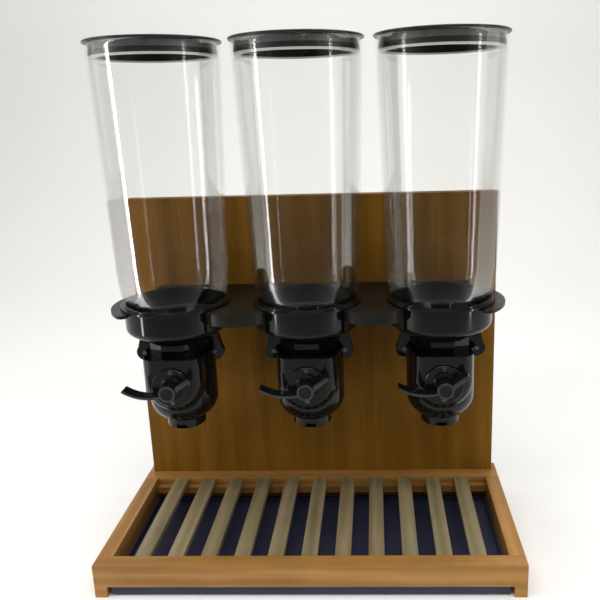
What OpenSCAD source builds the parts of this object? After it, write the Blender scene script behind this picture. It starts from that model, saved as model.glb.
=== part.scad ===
// Countertop gravity dispenser for dry food: three clear containers with lids stand in
// three dispensing heads, which hang in a bracket on a wooden backboard. Each head has a
// paddle wheel turned by a lever. A slatted wooden base with a crumb tray carries the board.
// Units: millimetres. +Z up, the front looks to -Y, the origin is under the middle of the base.

/* [Base] */
// Width of the wooden base
base_w = 520; // [500:1:600]
// Depth of the wooden base
base_d = 235; // [225:1:300]
// Height of the base rails
base_h = 43.5; // [38:0.5:60]
// Thickness of the front and side rails
rail_t = 19; // [12:0.5:25]
// Depth of the rear rail, which carries the board
rear_rail_d = 38; // [30:1:60]
// Height of the open strip under the front rail
kick_h = 14.5; // [12:0.5:18]
// Width of the legs at the ends of that strip
leg_w = 15; // [10:1:19]
// Number of slats
slat_count = 11; // [5:2:11]
// Width of a slat
slat_w = 19.5; // [12:0.5:26]
// Thickness of a slat
slat_t = 9; // [5:0.5:12]
// Distance from slat to slat
slat_pitch = 41; // [34:0.5:43]
// Side of the square strips under the slat ends
cleat_s = 10; // [6:0.5:14]
// Thickness of the panel under the tray
panel_t = 3; // [2:0.5:4]

/* [Crumb tray] */
// Height of the tray
tray_h = 10.5; // [7:0.5:10.5]
// Wall of the tray
tray_wall = 1.6; // [1:0.1:3]
// How far the tray front stands back from the rail
tray_setback = 3; // [1:0.5:6]
// Gap between the tray and the rails
tray_gap = 0.5; // [0.3:0.1:1.5]

/* [Backboard] */
// Width of the backboard
board_w = 506; // [500:1:520]
// Height of the backboard
board_h = 413; // [380:1:480]
// Thickness of the backboard
board_t = 18; // [12:0.5:24]

/* [Bracket] */
// Distance from one dispenser to the next
unit_pitch = 168; // [165:1:175]
// Distance from the board to the dispenser axes
unit_reach = 87.5; // [84:0.5:95]
// Height of the bracket's top face above the table
plate_z = 334; // [320:1:360]
// Thickness of the bracket plate
plate_t = 4; // [3:0.5:6]
// Radius of the plate around each dispenser
plate_r = 80; // [76:0.5:82]
// Half angle of the open mouth in front of each dispenser
mouth_angle = 46; // [40:1:50]
// Radius of the bowed front edge between dispensers
bow_r = 56; // [52:1:60]
// Height of the skirt under the bowed edge
skirt_h = 15; // [8:1:20]
// Depth of the socket walls under the plate
socket_h = 26; // [15:1:28]
// Thickness of skirts, socket walls and ribs
web_t = 3; // [2:0.5:4]
// Height of the rear flange on the board
flange_h = 34; // [24:1:50]

/* [Hopper] */
// Radius of the hopper collar
collar_r = 64.5; // [63.5:0.1:65.5]
// Height of the collar below the plate's top face
collar_h = 34; // [30:1:40]
// Wall of the collar
collar_wall = 3.2; // [2.5:0.1:4]
// Rounding of the collar's lower edge
collar_round = 9; // [4:0.5:10]
// How far the hopper's lip stands out over the plate
lip_w = 4.1; // [3:0.1:6]
// Thickness of the lip
lip_t = 3; // [2:0.5:4]
// Height of the rim inside the lip
rim_h = 1.5; // [0.5:0.5:3]
// Depth of the socket that holds the container
socket_depth = 26.5; // [20:0.5:28]
// Height of the funnel below the collar
funnel_h = 12; // [8:1:16]
// Radius of the throat
throat_r = 29; // [26:0.5:29.5]

/* [Dispensing head] */
// Distance across the flats of the eight-sided neck
neck_af = 70; // [69:0.5:74]
// Height of the neck below the hopper
neck_h = 14; // [12:1:20]
// Radius of the round body
body_r = 43.5; // [43:0.5:46]
// Height of the round body
body_h = 94; // [92:1:104]
// Rounding at the bottom of the body
body_round = 28; // [20:1:28]
// Height of the axle above the bottom of the body
axle_h = 59; // [56:1:62]
// Half width of the front boss
boss_w = 37; // [36:0.5:41]
// Distance from the dispenser axis to the boss's front
boss_reach = 51; // [49:0.5:56]
// Rounding of the boss's edges
boss_round = 15; // [8:0.5:16]
// Radius of the wheel chamber
chamber_r = 30; // [28:0.5:30]
// Wall in front of the chamber
chamber_front = 7; // [6:0.5:9]
// Chamber length behind the dispenser axis
chamber_back = 28; // [24:0.5:28]
// Distance from the dispenser axis to each side ear
ear_x = 46; // [45:0.5:50]
// Radius of the side ears
ear_r = 11; // [8:0.5:12]
// Thickness of each half of an ear
ear_t = 4.5; // [3:0.5:6]
// Height of the spout below the body
spout_h = 10.7; // [8:0.1:20]
// Radius of the spout
spout_r = 25; // [24:0.1:27]
// Radius of the outlet in the spout
outlet_r = 18.5; // [15:0.5:19]

/* [Wheel and lever] */
// Radius of the axle
axle_r = 5; // [4:0.1:6]
// Radius of the wheel hub
hub_r = 9; // [8:0.5:10]
// Thickness of the sleeve that carries the vanes
sleeve_t = 2; // [1:0.5:3]
// Number of vanes
vane_count = 6; // [4:1:8]
// Thickness of a vane
vane_t = 3; // [2:0.5:4]
// Gap between the vane tips and the chamber
vane_gap = 1.5; // [0.5:0.5:3]
// Radius of the round front cover
cover_r = 24.5; // [23.5:0.5:25.5]
// Thickness of the cover's rim
cover_t = 3.5; // [2.5:0.5:5]
// Radius of the raised middle of the cover
cover_mid_r = 14.5; // [12:0.5:16]
// Height of the raised middle
cover_mid_t = 3.5; // [2:0.5:5]
// Radius of the lever's hub
lever_hub_r = 10.3; // [9.5:0.1:11]
// Depth of the lever's hub
lever_hub_d = 14.5; // [12:0.5:18]
// Reach of the long arm
long_arm = 55; // [45:1:57]
// Thickness of the long arm
long_arm_t = 3.2; // [2.4:0.1:5]
// Reach of the short arm
short_arm = 33; // [26:1:38]
// Thickness of the short arm
short_arm_t = 5.6; // [4:0.1:7]
// Depth of the arms from front to back
arm_d = 16; // [10:0.5:16]

/* [Container] */
// Height of the container above the hopper's rim
tube_h = 309.5; // [250:0.5:360]
// Outer radius at the top
tube_top_r = 76.5; // [74:0.5:78]
// Outer radius where the taper meets the rounded shoulder
tube_low_r = 69; // [66:0.5:72]
// Height of the rounded shoulder
shoulder_h = 60; // [30:1:80]
// Wall of the container
tube_wall = 2.6; // [2:0.1:4]

/* [Lid] */
// Radius of the lid
lid_r = 79; // [78:0.5:81]
// Thickness of the lid's top
lid_t = 3; // [2:0.5:5]
// Height of the plug inside the container
plug_h = 14; // [10:0.5:30]
// Wall of the plug
plug_wall = 2.6; // [2:0.1:4]
// Height of the seal band on the plug
band_h = 6; // [4:0.5:8]
// Thickness of the pale lip under the seal band
lip_seal_t = 2; // [1:0.5:3]
// Inner radius of the pale lip
lip_seal_r = 65.5; // [60:0.5:68]

/* [Fasteners] */
// Shank radius of the wood screws
wood_screw_r = 2.2; // [1.5:0.1:3]
// Shank radius of the small machine screws
small_screw_r = 1.5; // [1:0.1:1.6]

/* [Hidden] */
$fn = 96;

// Clearances
fit = 0.05;          // radial gap of shafts, screws and spigots
seat_gap = 0.8;      // radial gap between a collar and its socket
soft_gap = 0.25;     // radial gap between a seal and its wall
run_gap = 0.3;       // gap between a turning face and a fixed one
far = 1000;          // longer than anything that is cut

// Places that follow from the sizes above
front_y = -base_d / 2;
back_y = base_d / 2;
board_y = back_y - board_t;
unit_y = board_y - unit_reach;
rail_in_x = base_w / 2 - rail_t;
slats_front_y = front_y + rail_t;
slats_back_y = back_y - rear_rail_d;
collar_z = plate_z - collar_h;
neck_top_z = collar_z - funnel_h;
body_top_z = neck_top_z - neck_h;
body_z = body_top_z - body_h;
axle_z = body_z + axle_h;
spout_z = body_z - spout_h;
rim_z = plate_z + lip_t + rim_h;
collar_in_r = collar_r - collar_wall;
ledge_z = rim_z - socket_depth;
ledge_w = 4;
spigot_r = throat_r + 3;
spigot_h = 9;
spigot_z = neck_top_z - spigot_h;
flare_r = neck_af / 2 / cos(22.5) + 0.6;
hole_r = collar_r + seat_gap;
tube_foot_r = collar_in_r - run_gap;
seal_t = 2.2;
tube_foot_z = ledge_z + seal_t;
shoulder_z = rim_z + run_gap;
tube_top_z = rim_z + tube_h;
chamber_front_y = chamber_front - boss_reach;
vane_r = chamber_r - vane_gap;
wheel_front_y = chamber_front_y + 1;
wheel_back_y = chamber_back - 1;
outlet_wall = 2.5;
bush_r = 8;
bush_l = 8;
cover_front_y = -boss_reach - cover_t - cover_mid_t;
cover_spigot_r = 16;
cover_screw_r = cover_r - 4.5;
lever_back_y = cover_front_y - run_gap;
lever_front_y = lever_back_y - lever_hub_d;
lever_socket = 8;
cap_recess_r = lever_hub_r - 3;
cap_recess = 2;
head_r = 4;
ear_head_r = 3;
head_t = 1.8;

// Points along an arc, from angle a to angle b
function arc(cx, cy, r, a, b, n = 12) =
    [for (i = [0:n]) let (t = a + (b - a) * i / n) [cx + r * cos(t), cy + r * sin(t)]];

// A cylinder along Y, from y0 to y1
module y_cyl(r, y0, y1) {
    translate([0, y1, 0])
        rotate([90, 0, 0])
            cylinder(r = r, h = y1 - y0);
}

// Turns a profile about the Y axis; its second coordinate points to the front
module y_turn(points) {
    rotate([90, 0, 0])
        rotate_extrude()
            polygon(points);
}

// Puts a dispenser piece in place: side is -1, 0 or 1
module unit(side) {
    translate([side * unit_pitch, unit_y, 0])
        children();
}

// Base

module front_rail() {
    color("#b57a3a")
        difference() {
            translate([-base_w / 2, front_y, 0])
                cube([base_w, rail_t, base_h]);
            translate([leg_w - base_w / 2, front_y - 1, -1])
                cube([base_w - 2 * leg_w, rail_t + 2, kick_h + 1]);
        }
}

module rear_rail() {
    color("#b57a3a")
        difference() {
            translate([-base_w / 2, back_y - rear_rail_d, 0])
                cube([base_w, rear_rail_d, base_h]);
            for (x = board_screw_xs)
                translate([x, board_y + board_t / 2, 0])
                    wood_screw_hole(base_h + 1);
        }
}

module side_rails() {
    color("#b57a3a")
        for (s = [-1, 1])
            translate([s * (base_w - rail_t) / 2 - rail_t / 2, slats_front_y, 0])
                cube([rail_t, slats_back_y - slats_front_y, base_h]);
}

module slat_cleats() {
    cleat_z = base_h - slat_t - cleat_s;
    color("#9a6a35")
        for (y = [slats_front_y, slats_back_y - cleat_s])
            translate([-rail_in_x, y, cleat_z])
                cube([2 * rail_in_x, cleat_s, cleat_s]);
}

module slats() {
    first_x = -slat_pitch * (slat_count - 1) / 2;
    color("#c9ab6d")
        for (i = [0:slat_count - 1])
            translate([first_x + i * slat_pitch - slat_w / 2, slats_front_y, base_h - slat_t])
                cube([slat_w, slats_back_y - slats_front_y, slat_t]);
}

module bottom_panel() {
    color("#4d5358")
        translate([-rail_in_x, slats_front_y, 0])
            cube([2 * rail_in_x, slats_back_y - slats_front_y, panel_t]);
}

tray_w = base_w - 2 * max(leg_w, rail_t) - 2 * tray_gap;
tray_front_y = front_y + tray_setback;
tray_d = slats_back_y - tray_gap - tray_front_y;

module crumb_tray() {
    color("#4d5358")
        translate([-tray_w / 2, tray_front_y, panel_t])
            difference() {
                cube([tray_w, tray_d, tray_h]);
                translate([tray_wall, tray_wall, tray_wall])
                    cube([tray_w - 2 * tray_wall, tray_d - 2 * tray_wall, tray_h]);
            }
}

// Backboard

board_screw_xs = [-200, -70, 70, 200];
board_screw_l = 68;

// A countersunk wood screw standing on its head
module wood_screw(r, length) {
    translate([0, 0, 0.5])
        cylinder(r1 = 2 * r, r2 = r, h = r);
    translate([0, 0, 0.5 + r])
        cylinder(r = r, h = length - r);
}

module wood_screw_hole(depth) {
    translate([0, 0, -1])
        cylinder(r = 2 * wood_screw_r + fit, h = 1.5 + fit);
    translate([0, 0, 0.5 + fit])
        cylinder(r1 = 2 * wood_screw_r + fit, r2 = wood_screw_r + fit, h = wood_screw_r);
    translate([0, 0, 0.5])
        cylinder(r = wood_screw_r + fit, h = depth);
}

module backboard() {
    color("#8a5320")
        difference() {
            translate([-board_w / 2, board_y, base_h])
                cube([board_w, board_t, board_h]);
            for (x = board_screw_xs)
                translate([x, board_y + board_t / 2, 0])
                    wood_screw_hole(board_screw_l + 1);
            for (x = bracket_screw_xs)
                translate([x, board_y - 1, bracket_screw_z])
                    rotate([-90, 0, 0])
                        cylinder(r = wood_screw_r + fit, h = bracket_screw_l - plate_t + 2);
        }
}

module board_screws() {
    color("#b8b8b8")
        for (x = board_screw_xs)
            translate([x, board_y + board_t / 2, 0])
                wood_screw(wood_screw_r, board_screw_l);
}

// Bracket

bow_y = -6;
flange_w = 2 * unit_pitch + 96;
bracket_screw_xs = [-205, -104, -64, 64, 104, 205];
bracket_screw_z = plate_z - flange_h + 9;
bracket_screw_l = 18;

end_r = (plate_r - hole_r) / 2;
socket_z = plate_z - socket_h;

module bracket_plate() {
    for (s = [-1, 0, 1])
        translate([s * unit_pitch, 0, 0])
            cylinder(r = plate_r, h = plate_t);
    for (s = [-1, 1])
        translate([s * unit_pitch / 2, bow_y, 0])
            cylinder(r = bow_r, h = plate_t);
    translate([-flange_w / 2, 0, 0])
        cube([flange_w, unit_reach, plate_t]);
}

// Socket walls and the skirts under the bowed edges, still closed by the holes' discs
module bracket_walls() {
    for (s = [-1, 0, 1])
        translate([s * unit_pitch, 0, socket_z])
            cylinder(r = hole_r + web_t, h = socket_h - plate_t / 2);
    for (s = [-1, 1])
        translate([s * unit_pitch / 2, bow_y, plate_z - skirt_h])
            difference() {
                cylinder(r = bow_r, h = skirt_h - plate_t / 2);
                translate([0, 0, -1])
                    cylinder(r = bow_r - web_t, h = skirt_h + 1);
            }
}

module bracket() {
    mouth = 1.6 * plate_r;
    color("#26262a") {
        difference() {
            translate([0, unit_y, 0]) {
                difference() {
                    union() {
                        translate([0, 0, plate_z - plate_t])
                            bracket_plate();
                        bracket_walls();
                    }
                    // the open holes and the wedge in front of each
                    for (s = [-1, 0, 1])
                        translate([s * unit_pitch, 0, socket_z - 1]) {
                            cylinder(r = hole_r, h = socket_h + 2);
                            linear_extrude(socket_h + 2)
                                polygon([[0, 0],
                                         mouth * [sin(mouth_angle), -cos(mouth_angle)],
                                         mouth * [-sin(mouth_angle), -cos(mouth_angle)]]);
                        }
                    // the two outer sides carry no socket wall
                    for (s = [-1, 1])
                        translate([s * (unit_pitch + plate_r), -plate_r, socket_z - 1])
                            translate([-plate_r, 0, 0])
                                cube([2 * plate_r, 1.5 * plate_r, socket_h + 1 - plate_t]);
                }
                // rear flange and its ribs
                translate([-flange_w / 2, unit_reach - plate_t, plate_z - flange_h])
                    cube([flange_w, plate_t, flange_h]);
                for (s = [-1, 0, 1])
                    translate([s * unit_pitch - web_t / 2, hole_r + web_t / 2, socket_z])
                        cube([web_t, unit_reach - hole_r - web_t, socket_h - plate_t / 2]);
            }
            for (x = bracket_screw_xs)
                translate([x, board_y - plate_t - 1, bracket_screw_z])
                    rotate([-90, 0, 0])
                        cylinder(r = wood_screw_r + fit, h = plate_t + 2);
        }
        // rounded front tips of the two outer ears
        for (s = [-1, 1])
            translate([s * unit_pitch, unit_y, plate_z - plate_t])
                rotate(s * (mouth_angle - 90))
                    translate([s * (hole_r + end_r), 0, 0])
                        cylinder(r = end_r - fit, h = plate_t);
    }
}

module bracket_screws() {
    color("#303030")
        for (x = bracket_screw_xs)
            translate([x, board_y - plate_t, bracket_screw_z])
                rotate([-90, 0, 0]) {
                    translate([0, 0, -head_t])
                        cylinder(r = head_r, h = head_t);
                    cylinder(r = wood_screw_r, h = bracket_screw_l);
                }
}

// Dispensing head

module hopper() {
    lip_r = collar_r + lip_w;
    rim_r = collar_r + 0.5;
    ledge_r = collar_in_r - ledge_w;
    color("#101012")
        rotate_extrude()
            polygon(concat(
                [[collar_r, plate_z], [lip_r, plate_z], [lip_r, plate_z + lip_t],
                 [rim_r, plate_z + lip_t], [rim_r, rim_z], [collar_in_r, rim_z],
                 [collar_in_r, ledge_z], [ledge_r, ledge_z],
                 [throat_r, neck_top_z - 2], [throat_r, spigot_z], [spigot_r, spigot_z],
                 [spigot_r, neck_top_z], [flare_r, neck_top_z],
                 [collar_r - collar_round - 3, collar_z]],
                arc(collar_r - collar_round, collar_z + collar_round, collar_round, -90, 0)));
}

// Solid outer form of the head, before it is hollowed and split
module head_form() {
    body = concat([[0, body_z]],
                  arc(body_r - body_round, body_z + body_round, body_round, -90, 0, 16),
                  [[body_r, body_top_z], [0, body_top_z]]);
    boss_half = concat([[0, 0], [boss_w, 0]],
                       arc(boss_w - boss_round, boss_reach - boss_round, boss_round, 0, 90),
                       [[0, boss_reach]]);
    boss_plan = concat([for (p = boss_half) [p[0], -p[1]]],
                       [for (i = [len(boss_half) - 1:-1:1]) [-boss_half[i][0], -boss_half[i][1]]]);
    rotate_extrude()
        polygon(body);
    // the front boss: a half-round lower end with a straight part on it
    translate([0, 0, axle_z]) {
        rotate([90, 0, 0])
            rotate(180)
                rotate_extrude(angle = 180)
                    polygon(boss_half);
        linear_extrude(body_top_z - axle_z)
            polygon(boss_plan);
    }
    translate([0, 0, body_top_z - 1])
        rotate(22.5)
            cylinder(r = neck_af / 2 / cos(22.5), h = neck_h + 1, $fn = 8);
    for (s = [-1, 1])
        translate([s * ear_x, 0, ear_z])
            y_cyl(ear_r, -ear_t, ear_t);
    // webs from the ears to the body, the neck and the underside of the hopper
    translate([0, ear_t, 0])
        rotate([90, 0, 0])
            linear_extrude(2 * ear_t)
                polygon([[-ear_x, ear_z - ear_r * 0.6], [ear_x, ear_z - ear_r * 0.6],
                         [ear_x + ear_r * 0.8, ear_z + ear_r * 0.5],
                         [web_top_x, cone_z(web_top_x)], [flare_r, neck_top_z - 1],
                         [-flare_r, neck_top_z - 1], [-web_top_x, cone_z(web_top_x)],
                         [-ear_x - ear_r * 0.8, ear_z + ear_r * 0.5]]);
}

ear_z = body_top_z - 5.5;
web_top_x = flare_r + 10.5;

// Height of the hopper's sloping underside at a radius
function cone_z(r) =
    neck_top_z + funnel_h * (r - flare_r) / (collar_r - collar_round - 3 - flare_r);

// Height of the body's rounded underside at a radius
function under_z(r) =
    body_z + body_round - sqrt(pow(body_round, 2) - pow(max(0, r - body_r + body_round), 2));

ear_screw_l = 2 * ear_t - 1;
ear_face_d = 12;
cover_screw_l = 9;

module head_hollow() {
    // wheel chamber, throat, seat of the hopper's spigot and outlet
    translate([0, 0, axle_z])
        y_cyl(chamber_r, chamber_front_y, chamber_back);
    translate([0, 0, axle_z])
        cylinder(r = throat_r, h = spigot_z - axle_z);
    translate([0, 0, spigot_z - fit])
        cylinder(r = spigot_r + fit, h = spigot_h + 1);
    translate([0, 0, body_z - 1])
        cylinder(r = outlet_r + outlet_wall, h = axle_z - body_z + 1);
    // service hole behind the cover, and the rear bush
    translate([0, 0, axle_z]) {
        y_cyl(cover_spigot_r, -boss_reach - 1, chamber_front_y + 1);
        y_cyl(bush_r, chamber_back - 1, chamber_back + bush_l + fit);
    }
    // holes of the cover screws and the ear screws, and faces for the ear screws' heads
    for (s = [-1, 1]) {
        translate([0, 0, axle_z + s * cover_screw_r])
            y_cyl(small_screw_r + fit, -boss_reach - 1, -boss_reach - cover_t + cover_screw_l + 0.5);
        translate([s * ear_x, 0, ear_z]) {
            y_cyl(small_screw_r + fit, -ear_t - 1, ear_t + 1);
            y_cyl(ear_head_r + run_gap, -ear_t - ear_face_d, -ear_t);
        }
    }
}

module front_housing() {
    color("#101012")
        difference() {
            head_form();
            head_hollow();
            translate([-far / 2, 0, 0])
                cube(far);
        }
}

module rear_housing() {
    color("#101012")
        difference() {
            head_form();
            head_hollow();
            translate([-far / 2, -far, 0])
                cube(far);
        }
}

module cover() {
    color("#17171a")
        translate([0, 0, axle_z])
            difference() {
                y_turn([[axle_r + fit, boss_reach - chamber_front + 1],
                        [cover_spigot_r - fit, boss_reach - chamber_front + 1],
                        [cover_spigot_r - fit, boss_reach],
                        [cover_r, boss_reach],
                        [cover_r, boss_reach + cover_t - 1],
                        [cover_r - 1, boss_reach + cover_t],
                        [cover_mid_r, boss_reach + cover_t],
                        [cover_mid_r - 2, boss_reach + cover_t + cover_mid_t],
                        [axle_r + fit, boss_reach + cover_t + cover_mid_t]]);
                for (s = [-1, 1])
                    translate([0, 0, s * cover_screw_r]) {
                        y_cyl(small_screw_r + fit, -boss_reach - cover_t - 1, -boss_reach + 1);
                        y_cyl(2 * small_screw_r + fit, -boss_reach - cover_t - 1,
                              -boss_reach - cover_t / 2);
                    }
            }
}

spout_spigot = 8;
spout_chamfer = 1.5;
spout_slot_w = 14;
spout_slot_h = 6;
spout_slot_d = 4.5;

module spout() {
    step_r = outlet_r + outlet_wall - fit;
    // the spout's top follows the rounding of the body
    seat = [for (i = [0:3]) let (r = spout_r + (step_r - spout_r) * i / 3)
               [r, under_z(r) - fit]];
    color("#101012")
        difference() {
            rotate_extrude()
                polygon(concat([[outlet_r, spout_z], [spout_r - spout_chamfer, spout_z],
                                [spout_r, spout_z + spout_chamfer]],
                               seat,
                               [[step_r, body_z + spout_spigot],
                                [outlet_r, body_z + spout_spigot]]));
            translate([-spout_slot_w / 2, -spout_r - 1, spout_z + spout_chamfer])
                cube([spout_slot_w, 1 + spout_slot_d, spout_slot_h]);
        }
}

module bush() {
    color("#d8d4c8")
        translate([0, 0, axle_z])
            difference() {
                y_cyl(bush_r - fit, chamber_back, chamber_back + bush_l);
                y_cyl(axle_r + fit, chamber_back - 1, chamber_back + bush_l + 1);
            }
}

module head_screws() {
    color("#2a2a2c")
        for (s = [-1, 1]) {
            translate([0, 0, axle_z + s * cover_screw_r]) {
                y_cyl(small_screw_r, -boss_reach - cover_t / 2,
                      -boss_reach - cover_t + cover_screw_l);
                y_cyl(2 * small_screw_r, -boss_reach - cover_t / 2 - 1.2,
                      -boss_reach - cover_t / 2);
            }
            translate([s * ear_x, 0, ear_z]) {
                y_cyl(small_screw_r, -ear_t, -ear_t + ear_screw_l);
                y_cyl(ear_head_r, -ear_t - head_t, -ear_t);
            }
        }
}

module container_seal() {
    color("#2a2a2c")
        translate([0, 0, ledge_z])
            difference() {
                cylinder(r = collar_in_r - soft_gap, h = seal_t);
                translate([0, 0, -1])
                    cylinder(r = collar_in_r - ledge_w, h = seal_t + 2);
            }
}

// Paddle wheel and lever

module axle() {
    color("#c9c6bd")
        translate([0, 0, axle_z])
            difference() {
                y_cyl(axle_r, lever_back_y - lever_socket, chamber_back + bush_l - run_gap);
                y_cyl(small_screw_r + fit, lever_back_y - lever_socket - 1,
                      lever_back_y - lever_socket + lever_screw_l);
            }
}

module wheel_hub() {
    color("#e8e6e0")
        translate([0, 0, axle_z])
            difference() {
                y_cyl(hub_r, wheel_front_y, wheel_back_y);
                y_cyl(axle_r + fit, wheel_front_y - 1, wheel_back_y + 1);
            }
}

module vanes() {
    color("#d9d9d4")
        translate([0, 0, axle_z])
            difference() {
                union() {
                    y_cyl(hub_r + sleeve_t, wheel_front_y, wheel_back_y);
                    for (i = [0:vane_count - 1])
                        rotate([0, 30 + i * 360 / vane_count, 0])
                            translate([-vane_t / 2, wheel_front_y, 0])
                                cube([vane_t, wheel_back_y - wheel_front_y, vane_r]);
                }
                y_cyl(hub_r + fit, wheel_front_y - 1, wheel_back_y + 1);
            }
}

lever_screw_l = 8;
long_bend_r = 60;
tip_rise = 2.6;
short_angle = 36;
short_drop = 2.7;

// Front view of the two arms
module arms_outline() {
    // the long arm is a bar bent to a circle, from the hub's lower side up to its tip
    half = long_arm_t / 2;
    tip = [-long_arm, tip_rise];
    root = -lever_hub_r * [0.7, 0.4];
    chord = tip - root;
    chord_l = norm(chord);
    up = [chord[1], -chord[0]] / chord_l;
    centre = (tip + root) / 2 + up * sqrt(pow(long_bend_r, 2) - pow(chord_l / 2, 2));
    root_a = atan2(root[1] - centre[1], root[0] - centre[0]);
    tip_a = atan2(tip[1] - centre[1], tip[0] - centre[0]);
    polygon(concat(arc(centre[0], centre[1], long_bend_r + half, root_a, tip_a),
                   arc(centre[0], centre[1], long_bend_r - half, tip_a, root_a)));
    translate(tip)
        circle(r = half, $fn = 24);
    // the short arm is a straight bar with a round end
    rotate(short_angle)
        translate([0, -short_drop]) {
            translate([0, -short_arm_t / 2])
                square([short_arm - short_arm_t / 2, short_arm_t]);
            translate([short_arm - short_arm_t / 2, 0])
                circle(r = short_arm_t / 2, $fn = 24);
        }
}

module lever() {
    arm_front_y = lever_front_y + 2;
    arm_back_y = min(arm_front_y + arm_d, -boss_reach - cover_t - run_gap);
    color("#0c0c0e")
        translate([0, 0, axle_z])
            difference() {
                union() {
                    y_cyl(lever_hub_r, lever_front_y, lever_back_y);
                    difference() {
                        translate([0, arm_back_y, 0])
                            rotate([90, 0, 0])
                                linear_extrude(arm_back_y - arm_front_y)
                                    arms_outline();
                        // the arms stay clear of the raised middle of the cover
                        y_cyl(cover_mid_r + 2 * run_gap, lever_back_y, arm_back_y + 1);
                    }
                }
                y_cyl(axle_r + fit, lever_back_y - lever_socket, lever_back_y + 1);
                y_cyl(small_screw_r + fit, lever_front_y - 1, lever_back_y);
                y_cyl(cap_recess_r, lever_front_y - 1, lever_front_y + cap_recess);
            }
}

// The screw that holds the lever, with a round cap in the hub's recess
module lever_screw() {
    tip_y = lever_front_y + cap_recess;
    color("#1c1c1e")
        translate([0, 0, axle_z]) {
            y_cyl(cap_recess_r - run_gap, tip_y - 1.5, tip_y);
            y_cyl(small_screw_r, tip_y, lever_back_y - lever_socket + lever_screw_l - 1);
        }
}

// Container and lid

// Outer radius of the tapered wall at a height above the table
function taper_r(z) =
    tube_low_r + (tube_top_r - tube_low_r) * (z - shoulder_z - shoulder_h)
        / (tube_top_z - shoulder_z - shoulder_h);

// Outline of the container's wall, set in by a distance
function wall_line(inset) = concat(
    [[tube_foot_r - inset, tube_foot_z]],
    [for (i = [0:8]) let (t = 90 * i / 8)
        [tube_foot_r - inset + (tube_low_r - tube_foot_r) * sin(t),
         shoulder_z + inset * cos(t) * 0.6 + shoulder_h * (1 - cos(t))]],
    [[tube_top_r - inset, tube_top_z]]);

module container() {
    inner = wall_line(tube_wall);
    color([0.85, 0.9, 0.92, 0.35])
        rotate_extrude()
            polygon(concat(wall_line(0), [for (i = [len(inner) - 1:-1:0]) inner[i]]));
}

plug_r = taper_r(tube_top_z - plug_h) - tube_wall - 1.2;
band_z = tube_top_z - plug_h;
band_r = taper_r(band_z) - tube_wall - soft_gap;

module lid() {
    color("#141416")
        rotate_extrude()
            polygon([[0, tube_top_z], [plug_r - plug_wall, tube_top_z],
                     [plug_r - plug_wall, band_z], [plug_r - plug_wall / 2, band_z],
                     [plug_r - plug_wall / 2, band_z + band_h], [plug_r, band_z + band_h],
                     [plug_r, tube_top_z], [lid_r - 0.8, tube_top_z],
                     [lid_r, tube_top_z + 0.8], [lid_r, tube_top_z + lid_t - 0.8],
                     [lid_r - 0.8, tube_top_z + lid_t], [lid_r - 6, tube_top_z + lid_t],
                     [lid_r - 7, tube_top_z + lid_t - 1], [0, tube_top_z + lid_t - 1]]);
}

module lid_seal() {
    color("#1c1c1e")
        rotate_extrude()
            polygon([[lip_seal_r, band_z - lip_seal_t], [band_r - 1, band_z - lip_seal_t],
                     [band_r, band_z - lip_seal_t / 2], [band_r, band_z + band_h],
                     [plug_r - plug_wall / 2, band_z + band_h],
                     [plug_r - plug_wall / 2, band_z], [lip_seal_r, band_z]]);
}

front_rail();
rear_rail();
side_rails();
slat_cleats();
slats();
bottom_panel();
crumb_tray();
backboard();
board_screws();
bracket();
bracket_screws();
unit(-1) hopper();  // left_hopper
unit(-1) front_housing();  // left_front_housing
unit(-1) rear_housing();  // left_rear_housing
unit(-1) cover();  // left_cover
unit(-1) spout();  // left_spout
unit(-1) bush();  // left_bush
unit(-1) head_screws();  // left_head_screws
unit(-1) container_seal();  // left_container_seal
unit(-1) axle();  // left_axle
unit(-1) wheel_hub();  // left_wheel_hub
unit(-1) vanes();  // left_vanes
unit(-1) lever();  // left_lever
unit(-1) lever_screw();  // left_lever_screw
unit(-1) container();  // left_container
unit(-1) lid();  // left_lid
unit(-1) lid_seal();  // left_lid_seal
unit(0) hopper();  // centre_hopper
unit(0) front_housing();  // centre_front_housing
unit(0) rear_housing();  // centre_rear_housing
unit(0) cover();  // centre_cover
unit(0) spout();  // centre_spout
unit(0) bush();  // centre_bush
unit(0) head_screws();  // centre_head_screws
unit(0) container_seal();  // centre_container_seal
unit(0) axle();  // centre_axle
unit(0) wheel_hub();  // centre_wheel_hub
unit(0) vanes();  // centre_vanes
unit(0) lever();  // centre_lever
unit(0) lever_screw();  // centre_lever_screw
unit(0) container();  // centre_container
unit(0) lid();  // centre_lid
unit(0) lid_seal();  // centre_lid_seal
unit(1) hopper();  // right_hopper
unit(1) front_housing();  // right_front_housing
unit(1) rear_housing();  // right_rear_housing
unit(1) cover();  // right_cover
unit(1) spout();  // right_spout
unit(1) bush();  // right_bush
unit(1) head_screws();  // right_head_screws
unit(1) container_seal();  // right_container_seal
unit(1) axle();  // right_axle
unit(1) wheel_hub();  // right_wheel_hub
unit(1) vanes();  // right_vanes
unit(1) lever();  // right_lever
unit(1) lever_screw();  // right_lever_screw
unit(1) container();  // right_container
unit(1) lid();  // right_lid
unit(1) lid_seal();  // right_lid_seal
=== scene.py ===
import math

import bmesh
import bpy
from mathutils import Matrix, Vector


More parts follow.
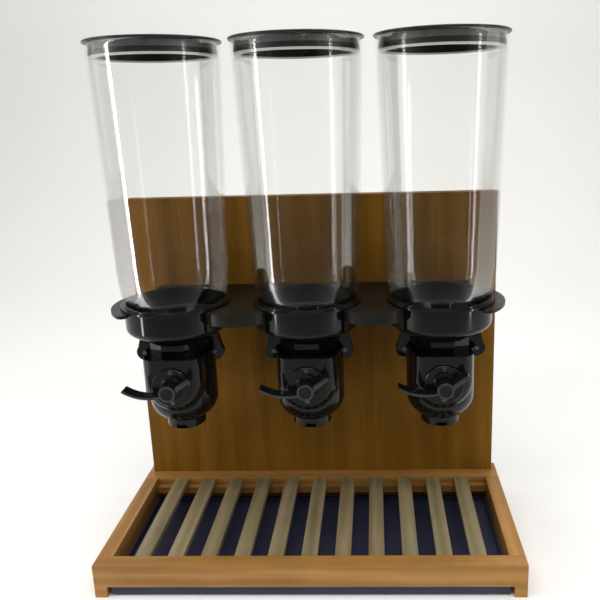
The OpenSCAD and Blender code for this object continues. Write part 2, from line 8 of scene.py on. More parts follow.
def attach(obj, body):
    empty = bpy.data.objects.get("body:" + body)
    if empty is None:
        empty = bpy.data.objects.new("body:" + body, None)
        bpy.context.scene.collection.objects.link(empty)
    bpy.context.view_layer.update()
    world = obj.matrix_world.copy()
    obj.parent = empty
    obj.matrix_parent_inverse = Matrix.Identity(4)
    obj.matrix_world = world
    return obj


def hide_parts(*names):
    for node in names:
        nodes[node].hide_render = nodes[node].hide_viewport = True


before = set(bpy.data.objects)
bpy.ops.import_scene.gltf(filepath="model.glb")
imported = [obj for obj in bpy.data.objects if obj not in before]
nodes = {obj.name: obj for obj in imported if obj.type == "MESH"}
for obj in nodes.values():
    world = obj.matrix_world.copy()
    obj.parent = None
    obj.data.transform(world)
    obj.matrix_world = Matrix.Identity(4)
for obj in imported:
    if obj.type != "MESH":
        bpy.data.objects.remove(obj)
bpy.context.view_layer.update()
sides = {"left": -1, "centre": 0, "right": 1}
unitPitch = 0.168  # from one dispenser's axis to the next
unitY = 0.012  # the dispensers' axes, behind the middle of the base
print("frame loaded:", len(nodes), "nodes")


class Wire:  # a socket that is reckoned with like a number
    def __init__(self, graph, socket):
        self.graph, self.socket = graph, socket

    def work(self, operation, first, second=None):
        sockets = {0: first} if second is None else {0: first, 1: second}
        return self.graph.node("ShaderNodeMath", {"operation": operation}, sockets)

    def __add__(self, other):
        return self.work("ADD", self, other)

    def __radd__(self, other):
        return self.work("ADD", other, self)

    def __sub__(self, other):
        return self.work("SUBTRACT", self, other)

    def __rsub__(self, other):
        return self.work("SUBTRACT", other, self)

    def __mul__(self, other):
        return self.work("MULTIPLY", self, other)

    def __rmul__(self, other):
        return self.work("MULTIPLY", other, self)

    def __truediv__(self, other):
        return self.work("DIVIDE", self, other)

    def __pow__(self, other):
        return self.work("POWER", self, other)

    def above(self, other):
        return self.work("GREATER_THAN", self, other)

    def least(self, other):
        return self.work("MINIMUM", self, other)

    def most(self, other):
        return self.work("MAXIMUM", self, other)

    def size(self):
        return self.work("ABSOLUTE", self)

    def sine(self):
        return self.work("SINE", self)

    def cosine(self):
        return self.work("COSINE", self)


class Graph:  # a node tree; node() makes one node and links or sets its sockets
    def __init__(self, tree):
        self.tree = tree

    def node(self, kind, settings=None, sockets=None, out=0):
        made = self.tree.nodes.new(kind)
        for name, value in (settings or {}).items():
            if name == "stops":  # colour ramp: list of (position, colour)
                ramp = made.color_ramp
                while len(ramp.elements) < len(value):
                    ramp.elements.new(0.5)
                for element, (position, colour) in zip(ramp.elements, value):
                    element.position = position
                    element.color = (*colour, 1)
            else:
                setattr(made, name, value)
        for name, value in (sockets or {}).items():
            target = made.inputs[name]
            if isinstance(value, Wire):
                self.tree.links.new(value.socket, target)
            else:
                target.default_value = value
        wire = Wire(self, made.outputs[out]) if made.outputs else None
        if wire:
            wire.made = made
        return wire

    def other(self, wire, out):  # another output of the same node
        return Wire(self, wire.made.outputs[out])


class Finish(Graph):
    def __init__(self, name):
        self.material = bpy.data.materials.new(name)
        self.material.use_nodes = True
        super().__init__(self.material.node_tree)
        self.tree.nodes.clear()

    def objectSpot(self):
        return self.node("ShaderNodeTexCoord", out=3)

    def spotAxes(self):  # x; y and z are its outputs 1 and 2
        return self.node("ShaderNodeSeparateXYZ", None, {0: self.objectSpot()})

    def place(self, scale=(1, 1, 1)):
        return self.node("ShaderNodeMapping", None, {"Vector": self.objectSpot(), "Scale": scale})

    def noise(self, where, scale=5.0, detail=3.0, rough=0.55, twist=0.0):
        return self.node("ShaderNodeTexNoise", None,
                         {"Vector": where, "Scale": scale, "Detail": detail, "Roughness": rough,
                          "Distortion": twist})

    def ramp(self, value, stops):
        return self.node("ShaderNodeValToRGB", {"stops": stops}, {0: value})

    def blend(self, share, first, second):
        return self.node("ShaderNodeMix", {"data_type": "RGBA"},
                         {0: share, 6: first if isinstance(first, Wire) else (*first, 1),
                          7: second if isinstance(second, Wire) else (*second, 1)}, out=2)

    def span(self, value, low, high, newLow=0.0, newHigh=1.0):
        return self.node("ShaderNodeMapRange", {"clamp": True},
                         {0: value, 1: low, 2: high, 3: newLow, 4: newHigh})

    def bump(self, height, distance=0.0002, strength=1.0, under=None):
        sockets = {"Height": height, "Distance": distance, "Strength": strength}
        if under:
            sockets["Normal"] = under
        return self.node("ShaderNodeBump", None, sockets)

    def softEdge(self, radius):
        return self.node("ShaderNodeBevel", {"samples": 6}, {"Radius": radius})

    def shader(self, sockets):
        return self.node("ShaderNodeBsdfPrincipled", None, sockets)

    def done(self, surface):
        self.node("ShaderNodeOutputMaterial", None, {"Surface": surface})
        return self.material


def paint(material, *names):
    for name in names:
        mesh = nodes[name].data
        mesh.materials.clear()
        mesh.materials.append(material)


# Wood: bands and pores along the grain; across and along are the patterns' scales

boardLook = {"grain": "Z", "bands": "X", "across": 24.0, "along": 1.8, "bandScale": 0.35,
             "bandShare": 0.08, "blotch": 7.0, "pores": 0.45, "rough": 0.45, "coat": 0.0,
             "shine": 0.08, "poreColour": (0.05, 0.020, 0.003),
             "stops": [(0.22, (0.13, 0.058, 0.006)), (0.45, (0.215, 0.100, 0.011)),
                       (0.62, (0.28, 0.135, 0.017)), (0.88, (0.36, 0.19, 0.03))],
             "knots": [((-0.085, 0.1, 0.315), 0.007), ((0.098, 0.1, 0.30), 0.009)]}
railLook = {"grain": "X", "bands": "Z", "across": 26.0, "along": 2.2, "bandScale": 0.6,
            "bandShare": 0.2, "blotch": 12.0, "pores": 0.35, "rough": 0.36, "coat": 0.05,
            "shine": 0.25, "poreColour": (0.16, 0.07, 0.014),
            "stops": [(0.25, (0.24, 0.11, 0.025)), (0.5, (0.38, 0.19, 0.048)),
                      (0.7, (0.47, 0.25, 0.07)), (0.9, (0.56, 0.33, 0.11))]}
slatLook = {"grain": "Y", "bands": "X", "across": 34.0, "along": 3.0, "bandScale": 0.5,
            "bandShare": 0.18, "blotch": 14.0, "pores": 0.4, "rough": 0.36, "coat": 0.0,
            "shine": 0.3, "poreColour": (0.12, 0.085, 0.04),
            "stops": [(0.25, (0.15, 0.115, 0.06)), (0.5, (0.23, 0.185, 0.10)),
                      (0.72, (0.30, 0.25, 0.145)), (0.9, (0.37, 0.32, 0.20))]}


def grainScale(look, across, along):
    return [along if axis == look["grain"] else across for axis in "XYZ"]


def woodFinish(name, look):
    f = Finish(name)
    across, along = look["across"], look["along"]
    where = f.place(grainScale(look, across, along))
    wander = f.noise(where, 1.0, 5.0, 0.6, 0.6)
    bands = f.node("ShaderNodeTexWave", {"bands_direction": look["bands"]},
                   {"Vector": where, "Scale": look["bandScale"], "Distortion": 9.0,
                    "Detail": 3.0, "Detail Scale": 1.2})
    fine = f.noise(f.place(grainScale(look, across * 9, along * 3)), 1.0, 3.0)
    blotch = f.noise(f.place([look["blotch"]] * 3), 1.0, 4.0, 0.6, 0.3)
    tone = wander * 0.5 + bands * look["bandShare"] + fine * 0.25 + blotch * 0.35 - 0.2
    colour = f.ramp(tone, look["stops"])
    pores = f.span(fine, 0.56, 0.74)
    colour = f.blend(pores * look["pores"], colour, look["poreColour"])
    for centre, radius in look.get("knots", []):
        apart = f.node("ShaderNodeVectorMath", {"operation": "DISTANCE"},
                       {0: f.objectSpot(), 1: centre}, out=1)
        wobble = f.noise(f.place((90, 90, 90)), 1.0, 2.0) * radius * 0.8
        knot = f.span(apart + wobble, radius * 0.3, radius * 1.7, 1.0, 0.0)
        colour = f.blend(knot * 0.8, colour, look["poreColour"])
    rough = f.span(fine + wander * 0.5, 0.4, 1.1, look["rough"], look["rough"] + 0.14)
    height = fine * 0.6 + wander * 0.4 - pores * 0.8
    return f.done(f.shader({"Base Color": colour, "Roughness": rough, "Coat Weight": look["coat"],
                            "Coat Roughness": 0.22, "Specular IOR Level": look["shine"],
                            "Normal": f.bump(height, 0.00012, 0.7, f.softEdge(0.0009))}))


boardWood = woodFinish("stainedBoard", boardLook)
railWood = woodFinish("honeyRail", railLook)
sideWood = woodFinish("honeySideRail", dict(railLook, grain="Y", bands="X"))
slatWood = woodFinish("oliveSlat", slatLook)
paint(boardWood, "backboard")
paint(railWood, "front_rail", "rear_rail", "slat_cleats")
paint(sideWood, "side_rails")
print("wood finished")


# Plastics and metals: wear is how far the roughness wanders, edge the radius of the soft edges

plasticLooks = {
    "glossBlack": {"colour": (0.003, 0.003, 0.003), "rough": 0.05, "wear": 0.05, "shine": 0.22,
                   "grain": 0.0, "edge": 0.0012},
    "leverBlack": {"colour": (0.004, 0.004, 0.004), "rough": 0.06, "wear": 0.04, "shine": 0.6,
                   "grain": 0.0, "edge": 0.0004},
    "coverBlack": {"colour": (0.004, 0.004, 0.004), "rough": 0.12, "wear": 0.08, "shine": 0.2,
                   "grain": 0.0, "edge": 0.0008},
    "bracketBlack": {"colour": (0.008, 0.006, 0.004), "rough": 0.30, "wear": 0.12, "shine": 0.22,
                     "grain": 0.3, "edge": 0.0008},
    "sealBlack": {"colour": (0.02, 0.02, 0.021), "rough": 0.5, "wear": 0.1, "shine": 0.3,
                  "grain": 0.3, "edge": 0.0004},
    "whitePlastic": {"colour": (0.62, 0.60, 0.55), "rough": 0.4, "wear": 0.1, "shine": 0.4,
                     "grain": 0.2, "edge": 0.0006},
    "vaneRubber": {"colour": (0.50, 0.50, 0.47), "rough": 0.55, "wear": 0.1, "shine": 0.3,
                   "grain": 0.4, "edge": 0.0006},
    # the panel's dark grey is its own colour; its blue tint is a painted reflection of the blue film
    # below it
    "slatePanel": {"colour": (0.030, 0.032, 0.062), "rough": 0.5, "wear": 0.1, "shine": 0.3,
                   "grain": 0.5, "edge": 0.0005}}
metalLooks = {"screwSteel": {"colour": (0.62, 0.62, 0.63), "rough": 0.28},
              "darkSteel": {"colour": (0.10, 0.10, 0.105), "rough": 0.35}}
lidLook = {"plugReach": 0.0702, "topZ": 0.6479, "skirtLowZ": 0.640, "skirtHighZ": 0.648,
           "marks": 0.35, "black": (0.012, 0.012, 0.012),
           "skirt": [(0.0, (0.20, 0.20, 0.19)), (0.7, (0.14, 0.14, 0.135)),
                     (1.0, (0.03, 0.03, 0.03))]}
sealLook = {"lipZ": 0.6341, "band": (0.02, 0.02, 0.02), "lip": (0.72, 0.72, 0.69)}


def plasticFinish(name, look):
    f = Finish(name)
    film = f.noise(f.place((14, 14, 14)), 1.0, 4.0, 0.6)
    speck = f.noise(f.place((900, 900, 900)), 1.0, 1.0)
    worn = tuple(c * 1.35 + 0.002 for c in look["colour"])
    tint = f.blend(f.span(film, 0.35, 0.7), look["colour"], worn)
    normal = f.softEdge(look["edge"])
    if look["grain"]:
        normal = f.bump(speck, 0.00006, look["grain"], normal)
    rough = f.span(film, 0.3, 0.75, look["rough"], look["rough"] + look["wear"])
    return f.done(f.shader({"Base Color": tint, "Roughness": rough,
                            "Specular IOR Level": look["shine"], "Normal": normal}))


def metalFinish(name, look):
    f = Finish(name)
    lines = f.noise(f.place((60, 1500, 1500)), 1.0, 2.0)
    dull = tuple(c * 0.8 for c in look["colour"])
    return f.done(f.shader({"Base Color": f.blend(f.span(lines, 0.3, 0.7), look["colour"], dull),
                            "Roughness": f.span(lines, 0.3, 0.7, look["rough"], look["rough"] + 0.12),
                            "Metallic": 1.0, "Normal": f.bump(lines, 0.00002, 0.5)}))


def lidFinish(look):  # black, with a scuffed grey skirt on the plug
    f = Finish("lidBlack")
    spot = f.spotAxes()
    y, z = f.other(spot, 1), f.other(spot, 2)
    aside = spot.size()
    aside = (aside - unitPitch).size().least(aside)  # the same distance from each lid's axis
    reach = (aside ** 2.0 + (y - unitY) ** 2.0) ** 0.5
    skirt = reach.above(look["plugReach"]) * (1 - z.above(look["topZ"]))
    marks = f.noise(f.place((160, 160, 4)), 1.0, 2.0)
    height = f.span(z, look["skirtLowZ"], look["skirtHighZ"])
    grey = f.ramp(height + (marks - 0.5) * look["marks"], look["skirt"])
    film = f.noise(f.place((14, 14, 14)), 1.0, 4.0, 0.6)
    return f.done(f.shader({"Base Color": f.blend(skirt, look["black"], grey),
                            "Roughness": f.span(film, 0.3, 0.75, 0.24, 0.34),
                            "Specular IOR Level": 0.4, "Normal": f.softEdge(0.0008)}))


def lidSealFinish(look):  # a dark band over a pale lip
    f = Finish("lidSeal")
    lip = 1 - f.other(f.spotAxes(), 2).above(look["lipZ"])
    speck = f.noise(f.place((700, 700, 700)), 1.0, 1.0)
    return f.done(f.shader({"Base Color": f.blend(lip, look["band"], look["lip"]),
                            "Roughness": 0.4, "Normal": f.bump(speck, 0.00004, 0.3)}))


finishes = {name: plasticFinish(name, look) for name, look in plasticLooks.items()}
finishes.update({name: metalFinish(name, look) for name, look in metalLooks.items()})
finishes["lidBlack"] = lidFinish(lidLook)
finishes["lidSeal"] = lidSealFinish(sealLook)

unitFinishes = {"glossBlack": ("hopper", "front_housing", "rear_housing", "spout"),
                "coverBlack": ("cover", "lever_screw"), "leverBlack": ("lever",),
                "lidBlack": ("lid",), "lidSeal": ("lid_seal",), "sealBlack": ("container_seal",),
                "whitePlastic": ("bush", "axle", "wheel_hub"), "vaneRubber": ("vanes",),
                "darkSteel": ("head_screws",)}

paint(finishes["bracketBlack"], "bracket")
paint(finishes["darkSteel"], "bracket_screws")
paint(finishes["screwSteel"], "board_screws")
paint(finishes["slatePanel"], "bottom_panel", "crumb_tray")
for unit in sides:
    for finish, parts in unitFinishes.items():
        paint(finishes[finish], *(f"{unit}_{part}" for part in parts))
print("plastics and metals finished")


# Helpers for pieces that are grown by a geometry tree


def geometryTree(name, sizes):
    tree = bpy.data.node_groups.new(name, "GeometryNodeTree")
    tree.interface.new_socket("Geometry", in_out="OUTPUT", socket_type="NodeSocketGeometry")
    for label, value in sizes.items():
        kind = "NodeSocketInt" if isinstance(value, int) else "NodeSocketFloat"
        tree.interface.new_socket(label, in_out="INPUT", socket_type=kind)
    graph = Graph(tree)
    given = tree.nodes.new("NodeGroupInput")
    inputs = {socket.name: Wire(graph, socket) for socket in given.outputs if socket.name}
    return graph, inputs


def growMesh(name, graph, shape, sizes, material):
    real = graph.node("GeometryNodeRealizeInstances", None, {0: shape})
    real = graph.node("GeometryNodeSetMaterial", None, {"Geometry": real, "Material": material})
    graph.node("NodeGroupOutput", None, {0: real})
    carrier = bpy.data.objects.new(name + "Grower", bpy.data.meshes.new(name + "Grower"))
    bpy.context.scene.collection.objects.link(carrier)
    modifier = carrier.modifiers.new("grow", "NODES")
    modifier.node_group = graph.tree
    for item in graph.tree.interface.items_tree:
        if item.in_out == "INPUT" and item.name in sizes:
            modifier[item.identifier] = sizes[item.name]
    carrier.update_tag()
    bpy.context.view_layer.update()
    grown = carrier.evaluated_get(bpy.context.evaluated_depsgraph_get())
    mesh = bpy.data.meshes.new_from_object(grown)
    carrier.modifiers.clear()
    bpy.data.objects.remove(carrier)
    mesh.name = name
    return linked(name, mesh)


def linked(name, mesh):
    piece = bpy.data.objects.new(name, mesh)
    bpy.context.scene.collection.objects.link(piece)
    return piece


def applyModifiers(piece):
    bpy.context.view_layer.update()
    baked = piece.evaluated_get(bpy.context.evaluated_depsgraph_get())
    mesh = bpy.data.meshes.new_from_object(baked)
    piece.modifiers.clear()
    piece.data = mesh


def vector(graph, x=0.0, y=0.0, z=0.0):
    return graph.node("ShaderNodeCombineXYZ", None, {0: x, 1: y, 2: z})


# Slats

slatSizes = {"Count": 11, "Pitch": 0.041, "Width": 0.0195, "Thickness": 0.009, "Edge": 0.0012,
             "Front": -0.0985, "Back": 0.0795, "Top": 0.0435}


def makeSlats():
    graph, size = geometryTree("slatRows", slatSizes)
    outline = graph.node("GeometryNodeCurvePrimitiveQuadrilateral", None,
                         {"Width": size["Width"], "Height": size["Thickness"]})
    outline = graph.node("GeometryNodeFilletCurve", {"mode": "POLY"},
                         {"Curve": outline, "Count": 4, "Radius": size["Edge"]})
    middle = size["Top"] - size["Thickness"] / 2
    line = graph.node("GeometryNodeCurvePrimitiveLine", None,
                      {"Start": vector(graph, 0.0, size["Front"], middle),
                       "End": vector(graph, 0.0, size["Back"], middle)})
    bar = graph.node("GeometryNodeCurveToMesh", None,
                     {"Curve": line, "Profile Curve": outline, "Fill Caps": True})
    first = size["Pitch"] * (size["Count"] - 1) / -2
    row = graph.node("GeometryNodeMeshLine", {"mode": "OFFSET"},
                     {"Count": size["Count"], "Start Location": vector(graph, first),
                      "Offset": vector(graph, size["Pitch"])})
    rows = graph.node("GeometryNodeInstanceOnPoints", None, {"Points": row, "Instance": bar})
    return growMesh("slatRows", graph, rows, slatSizes, slatWood)


slatRows = makeSlats()
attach(slatRows, "stand")
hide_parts("slats")
print("slats made:", len(slatRows.data.polygons), "faces")


# Levers: depths are measured from the dispenser's axis, heights from the wheel's axle

leverSizes = {"front": -0.0708, "hubFront": -0.0728, "hubBack": -0.0583, "armBack": -0.0548,
              "hub": 0.0103, "recess": 0.0073, "recessDepth": 0.002, "axle": 0.239,
              "longReach": 0.055, "tipRise": 0.0026, "longBend": 0.060, "longThick": 0.0032,
              "rootShare": (0.6, 0.4), "shortReach": 0.033, "shortThick": 0.0056,
              "shortAngle": 36, "shortDrop": 0.0027, "shortStart": 0.004,
              "coverMiddle": 0.0151, "round": 0.0012, "roundSteps": 4}


def arcPoints(centre, radius, start, end, steps=16):
    turns = [start + (end - start) * i / steps for i in range(steps + 1)]
    return [centre + radius * Vector((math.cos(a), math.sin(a))) for a in turns]


def longArmOutline():
    size = leverSizes
    tip = Vector((-size["longReach"], size["tipRise"]))
    root = -size["hub"] * Vector(size["rootShare"])
    chord = tip - root
    up = Vector((chord.y, -chord.x)).normalized()
    rise = math.sqrt(size["longBend"] ** 2 - chord.length_squared / 4)
    centre = (tip + root) / 2 + up * rise
    turn = [math.atan2(p.y - centre.y, p.x - centre.x) for p in (root, tip)]
    half = size["longThick"] / 2
    nose = arcPoints(tip, half, turn[1], turn[1] - math.pi, 8)[1:-1]
    return (arcPoints(centre, size["longBend"] + half, *turn) + nose
            + arcPoints(centre, size["longBend"] - half, *reversed(turn)))


def shortArmOutline():
    size = leverSizes
    half, end = size["shortThick"] / 2, size["shortReach"] - size["shortThick"] / 2
    bar = [Vector((size["shortStart"], -half))]
    bar += arcPoints(Vector((end, 0)), half, -math.pi / 2, math.pi / 2, 8)
    bar.append(Vector((size["shortStart"], half)))
    turn = Matrix.Rotation(math.radians(size["shortAngle"]), 2)
    return [turn @ (p - Vector((0, size["shortDrop"]))) for p in bar]


def prism(shape, outline, front, back, middle):  # an outline in the front view, given depth
    rows = [[shape.verts.new((p.x + middle.x, y + middle.y, p.y + middle.z)) for p in outline]
            for y in (front, back)]
    shape.faces.new(rows[0])
    shape.faces.new(rows[1][::-1])
    for i in range(len(outline)):
        j = (i + 1) % len(outline)
        shape.faces.new((rows[0][j], rows[0][i], rows[1][i], rows[1][j]))


def turned(shape, profile, middle, around=64):  # a profile of (radius, y) turned about the axle
    rings = []
    for radius, y in profile:
        if radius == 0:
            rings.append([shape.verts.new((middle.x, y + middle.y, middle.z))] * around)
            continue
        turns = [2 * math.pi * i / around for i in range(around)]
        rings.append([shape.verts.new((middle.x + radius * math.cos(a), y + middle.y,
                                       middle.z + radius * math.sin(a))) for a in turns])
    for inner, outer in zip(rings, rings[1:]):
        for i in range(around):
            j = (i + 1) % around
            corners = [inner[i], inner[j], outer[j], outer[i]]
            shape.faces.new(list(dict.fromkeys(corners)))


def newPiece(name, shape, material):
    bmesh.ops.recalc_face_normals(shape, faces=shape.faces)
    mesh = bpy.data.meshes.new(name)
    shape.to_mesh(mesh)
    shape.free()
    mesh.materials.append(material)
    return linked(name, mesh)


def leverArms(unit, middle):  # both arms, notched round the raised middle of the cover
    size = leverSizes
    shape = bmesh.new()
    prism(shape, longArmOutline(), size["front"], size["armBack"], middle)
    prism(shape, shortArmOutline(), size["front"], size["armBack"], middle)
    arms = newPiece(unit + "Arms", shape, finishes["leverBlack"])
    shape = bmesh.new()
    back = size["armBack"] + 0.001
    turned(shape, [(0, size["hubBack"]), (size["coverMiddle"], size["hubBack"]),
                   (size["coverMiddle"], back), (0, back)], middle)
    cutter = newPiece(unit + "LeverCutter", shape, finishes["leverBlack"])
    notch = arms.modifiers.new("notch", "BOOLEAN")
    notch.operation, notch.object, notch.solver = "DIFFERENCE", cutter, "EXACT"
    applyModifiers(arms)
    bpy.data.objects.remove(cutter)
    shape = bmesh.new()
    shape.from_mesh(arms.data)
    bpy.data.objects.remove(arms)
    return shape


def makeLever(unit):
    size = leverSizes
    middle = Vector((sides[unit] * unitPitch, unitY, size["axle"]))
    shape = leverArms(unit, middle)
    floor = size["hubFront"] + size["recessDepth"]
    turned(shape, [(0, floor), (size["recess"], floor), (size["recess"], size["hubFront"]),
                   (size["hub"], size["hubFront"]), (size["hub"], size["hubBack"]),
                   (0, size["hubBack"])], middle)
    piece = newPiece(unit + "Lever", shape, finishes["leverBlack"])
    rounding = piece.modifiers.new("rounding", "BEVEL")
    rounding.width, rounding.segments = size["round"], size["roundSteps"]
    rounding.limit_method, rounding.angle_limit = "ANGLE", math.radians(40)
    applyModifiers(piece)
    for face in piece.data.polygons:
        face.use_smooth = True
    piece.data.set_sharp_from_angle(angle=math.radians(50))
    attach(piece, unit + "_wheel")
    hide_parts(unit + "_lever")


for unit in sides:
    makeLever(unit)
print("levers made")


# Containers

containerSizes = {"Foot": 0.0610, "Low": 0.0690, "Top": 0.0765, "FootZ": 0.3142,
                  "ShoulderZ": 0.3388, "ShoulderH": 0.060, "TopZ": 0.6480, "Wall": 0.0026,
                  "Around": 160, "Rings": 90}
clearLook = {"gloss": (0.93, 0.93, 0.92, 1), "rough": 0.07, "seen": (0.988, 0.988, 0.983, 1),
             "edge": (0.86, 0.86, 0.85, 1), "edgePower": 14.0, "mirror": 0.34,
             "mirrorMost": 0.42, "refraction": 1.42}


def clearFinish(look):
    f = Finish("clearWall")
    streak = f.noise(f.place((30, 30, 0.7)), 1.0, 2.0, 0.5)
    facing = f.node("ShaderNodeLayerWeight", None, {"Blend": 0.5}, out=1)
    fresnel = f.node("ShaderNodeFresnel", None, {"IOR": look["refraction"]})
    gloss = f.shader({"Base Color": look["gloss"], "Roughness": look["rough"], "Metallic": 1.0,
                      "Normal": f.bump(streak, 0.0004, 0.12)})
    seen = f.node("ShaderNodeBsdfTransparent", None, {"Color": look["seen"]})
    edge = f.node("ShaderNodeBsdfTransparent", None, {"Color": look["edge"]})
    clear = f.node("ShaderNodeMixShader", None, {0: facing ** look["edgePower"], 1: seen, 2: edge})
    share = (fresnel * look["mirror"]).least(look["mirrorMost"])
    return f.done(f.node("ShaderNodeMixShader", None, {0: share, 1: clear, 2: gloss}))


clearWall = clearFinish(clearLook)


def makeContainer(unit):
    graph, size = geometryTree(unit + "ContainerShape", containerSizes)
    sheet = graph.node("GeometryNodeMeshGrid", None,
                       {"Size X": 1.0, "Size Y": 1.0, "Vertices X": size["Around"],
                        "Vertices Y": size["Rings"]})
    spot = graph.node("GeometryNodeInputPosition")
    x = graph.node("ShaderNodeSeparateXYZ", None, {0: spot})
    angle = (x + 0.5) * (2 * math.pi)
    level = (graph.other(x, 1) + 0.5) ** 1.5  # rings lie closer near the foot
    z = size["FootZ"] + level * (size["TopZ"] - size["FootZ"])
    t = ((z - size["ShoulderZ"]) / size["ShoulderH"]).most(0.0).least(1.0)
    bulge = (1 - (1 - t) ** 2.0) ** 0.5
    shoulderTop = size["ShoulderZ"] + size["ShoulderH"]
    above = ((z - shoulderTop) / (size["TopZ"] - shoulderTop)).most(0.0)
    radius = (size["Foot"] + (size["Low"] - size["Foot"]) * bulge
              + (size["Top"] - size["Low"]) * above)
    where = vector(graph, angle.cosine() * radius + sides[unit] * unitPitch,
                   angle.sine() * radius + unitY, z)
    wall = graph.node("GeometryNodeSetPosition", None, {"Geometry": sheet, "Position": where})
    wall = graph.node("GeometryNodeMergeByDistance", None, {"Geometry": wall, "Distance": 0.00002})
    wall = graph.node("GeometryNodeSetShadeSmooth", None, {"Geometry": wall})
    piece = growMesh(unit + "ContainerWall", graph, wall, containerSizes, clearWall)
    turnOutwards(piece)
    thick = piece.modifiers.new("wall", "SOLIDIFY")
    thick.thickness, thick.offset = containerSizes["Wall"], -1
    applyModifiers(piece)
    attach(piece, unit + "_container")
    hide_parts(unit + "_container")


def turnOutwards(piece):
    shape = bmesh.new()
    shape.from_mesh(piece.data)
    bmesh.ops.recalc_face_normals(shape, faces=shape.faces)
    centre = sum((v.co for v in shape.verts), Vector()) / len(shape.verts)
    lean = sum(face.normal.dot(face.calc_center_median() - centre) for face in shape.faces)
    if lean < 0:
        bmesh.ops.reverse_faces(shape, faces=shape.faces)
    shape.to_mesh(piece.data)
    shape.free()


for unit in sides:
    makeContainer(unit)
print("containers made")


# Stage: a pale floor that curves up behind the object, with painted shade greying it towards the
# front

stageSizes = {"front": -2.6, "bendStart": 1.2, "bend": 0.8, "top": 3.4, "halfWidth": 4.5}
# the front colour is painted shade: the floor turns grey in front so the dark surroundings there show
# in reflections
floorLook = {"pale": (0.86, 0.855, 0.84), "palest": (0.90, 0.895, 0.88),
             "front": (0.45, 0.447, 0.44), "paintedShadeY": -0.9, "paleY": -0.25}


def floorWithPaintedShadeFinish(look):
    f = Finish("paleFloor")
    tint = f.noise(f.place((3, 3, 3)), 1.0, 2.0)
    pale = f.blend(tint, look["pale"], look["palest"])
    # painted shade: pale at the back, fading to grey towards the front
    share = f.span(f.other(f.spotAxes(), 1), look["paintedShadeY"], look["paleY"])
    return f.done(f.shader({"Base Color": f.blend(share, look["front"], pale),
                            "Roughness": 0.7}))


def makeStage():
    size = stageSizes
    start, bend, width = size["bendStart"], size["bend"], size["halfWidth"]
    points = [(size["front"], 0.0), (start, 0.0)]
    turns = [a * math.pi / 24 for a in range(1, 13)]
    points += [(start + bend * math.sin(a), bend - bend * math.cos(a)) for a in turns]
    points.append((start + bend, size["top"]))
    shape = bmesh.new()
    rows = [[shape.verts.new((x, y, z)) for x in (-width, width)] for y, z in points]
    for low, high in zip(rows, rows[1:]):
        shape.faces.new((low[0], low[1], high[1], high[0]))
    mesh = bpy.data.meshes.new("sweep")
    shape.to_mesh(mesh)
    shape.free()
    mesh.materials.append(floorWithPaintedShadeFinish(floorLook))
    for face in mesh.polygons:
        face.use_smooth = True
    linked("sweep", mesh)


# Lamps: place, what they point at, width, height and watts

lamps = {"overhead": {"at": (0.0, -0.45, 2.2), "aim": (0, 0, 0.2), "size": (2.0, 0.8), "watts": 17},
         "ceilingTube": {"at": (0.0, -1.15, 2.1), "aim": (0, 0, 0.25), "size": (2.4, 0.06),
                         "watts": 16},
         "leftStrip": {"at": (-0.95, -0.35, 0.35), "aim": (0, 0, 0.2), "size": (0.08, 0.7),
                       "watts": 3},
         "rightStrip": {"at": (1.1, -0.5, 0.35), "aim": (0, 0, 0.2), "size": (0.08, 0.7),
                        "watts": 2.6},
         "backWash": {"at": (0.0, 0.9, 2.4), "aim": (0, 1.9, 1.0), "size": (3.0, 0.8), "watts": 20}}


def hangLamp(name, look):
    lamp = bpy.data.lights.new(name, "AREA")
    lamp.shape = "RECTANGLE"
    lamp.size, lamp.size_y = look["size"]
    lamp.energy = look["watts"]
    made = bpy.data.objects.new(name, lamp)
    made.location = look["at"]
    towards = Vector(look["aim"]) - Vector(look["at"])
    made.rotation_euler = towards.to_track_quat("-Z", "Y").to_euler()
    bpy.context.scene.collection.objects.link(made)


for name, look in lamps.items():
    hangLamp(name, look)


# Room: a soft glow from both sides, from behind and from above

roomLook = {"sidesFrom": 0.55, "sidesFull": 0.9, "sides": 0.6, "behindFrom": 0.1, "behind": 0.9,
            "aboveFrom": 0.35, "above": 0.8, "floor": 0.10, "most": 0.9,
            "colour": (0.98, 0.98, 0.97, 1)}


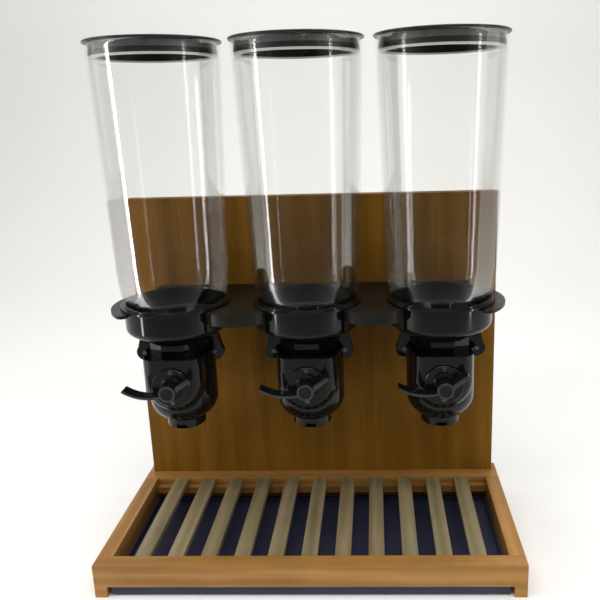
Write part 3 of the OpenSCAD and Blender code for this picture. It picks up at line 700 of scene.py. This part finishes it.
def lightRoom(look):
    world = bpy.data.worlds.new("room")
    bpy.context.scene.world = world
    world.use_nodes = True
    room = Graph(world.node_tree)
    room.tree.nodes.clear()
    spot = room.node("ShaderNodeTexCoord")
    direction = room.node("ShaderNodeSeparateXYZ", None, {0: spot})
    fromSides = room.node("ShaderNodeMapRange", {"clamp": True},
                          {0: direction.size(), 1: look["sidesFrom"], 2: look["sidesFull"],
                           3: 0.0, 4: look["sides"]})
    behind = (room.other(direction, 1) - look["behindFrom"]).most(0.0) * look["behind"]
    above = (room.other(direction, 2) - look["aboveFrom"]).most(0.0) * look["above"]
    glow = (fromSides + behind + above + look["floor"]).least(look["most"])
    back = room.node("ShaderNodeBackground", None, {"Color": look["colour"], "Strength": glow})
    room.node("ShaderNodeOutputWorld", None, {"Surface": back})


lightRoom(roomLook)
makeStage()

# Camera: angles in degrees, focal length and middle in pixels of the photograph's frame

cameraLook = {"focal": 667.7, "pitch": 13.62, "yaw": -2.18, "roll": -1.57,
              "place": (0.0874, -0.8021, 0.5665), "middle": (351.2, 272.4), "frame": 600,
              "sensor": 36}


def makeCamera():
    look = cameraLook
    sensor = bpy.data.cameras.new("view")
    sensor.sensor_width = look["sensor"]
    sensor.lens = look["focal"] * look["sensor"] / look["frame"]
    sensor.shift_x = (look["frame"] / 2 - look["middle"][0]) / look["frame"]
    sensor.shift_y = (look["middle"][1] - look["frame"] / 2) / look["frame"]
    sensor.clip_start, sensor.clip_end = 0.01, 50
    pitch, yaw, roll = (math.radians(look[turn]) for turn in ("pitch", "yaw", "roll"))
    ahead = Vector((math.sin(yaw) * math.cos(pitch), math.cos(yaw) * math.cos(pitch),
                    -math.sin(pitch)))
    right = Vector((math.cos(yaw), -math.sin(yaw), 0))
    up = right.cross(ahead)
    acrossAxis = right * math.cos(roll) + up * math.sin(roll)
    upAxis = up * math.cos(roll) - right * math.sin(roll)
    turn = Matrix((acrossAxis, upAxis, -ahead)).transposed()
    camera = bpy.data.objects.new("view", sensor)
    camera.matrix_world = Matrix.Translation(Vector(look["place"])) @ turn.to_4x4()
    bpy.context.scene.collection.objects.link(camera)
    bpy.context.scene.camera = camera


makeCamera()
bpy.context.scene.view_settings.view_transform = "Standard"
print("stage, lights and camera set")
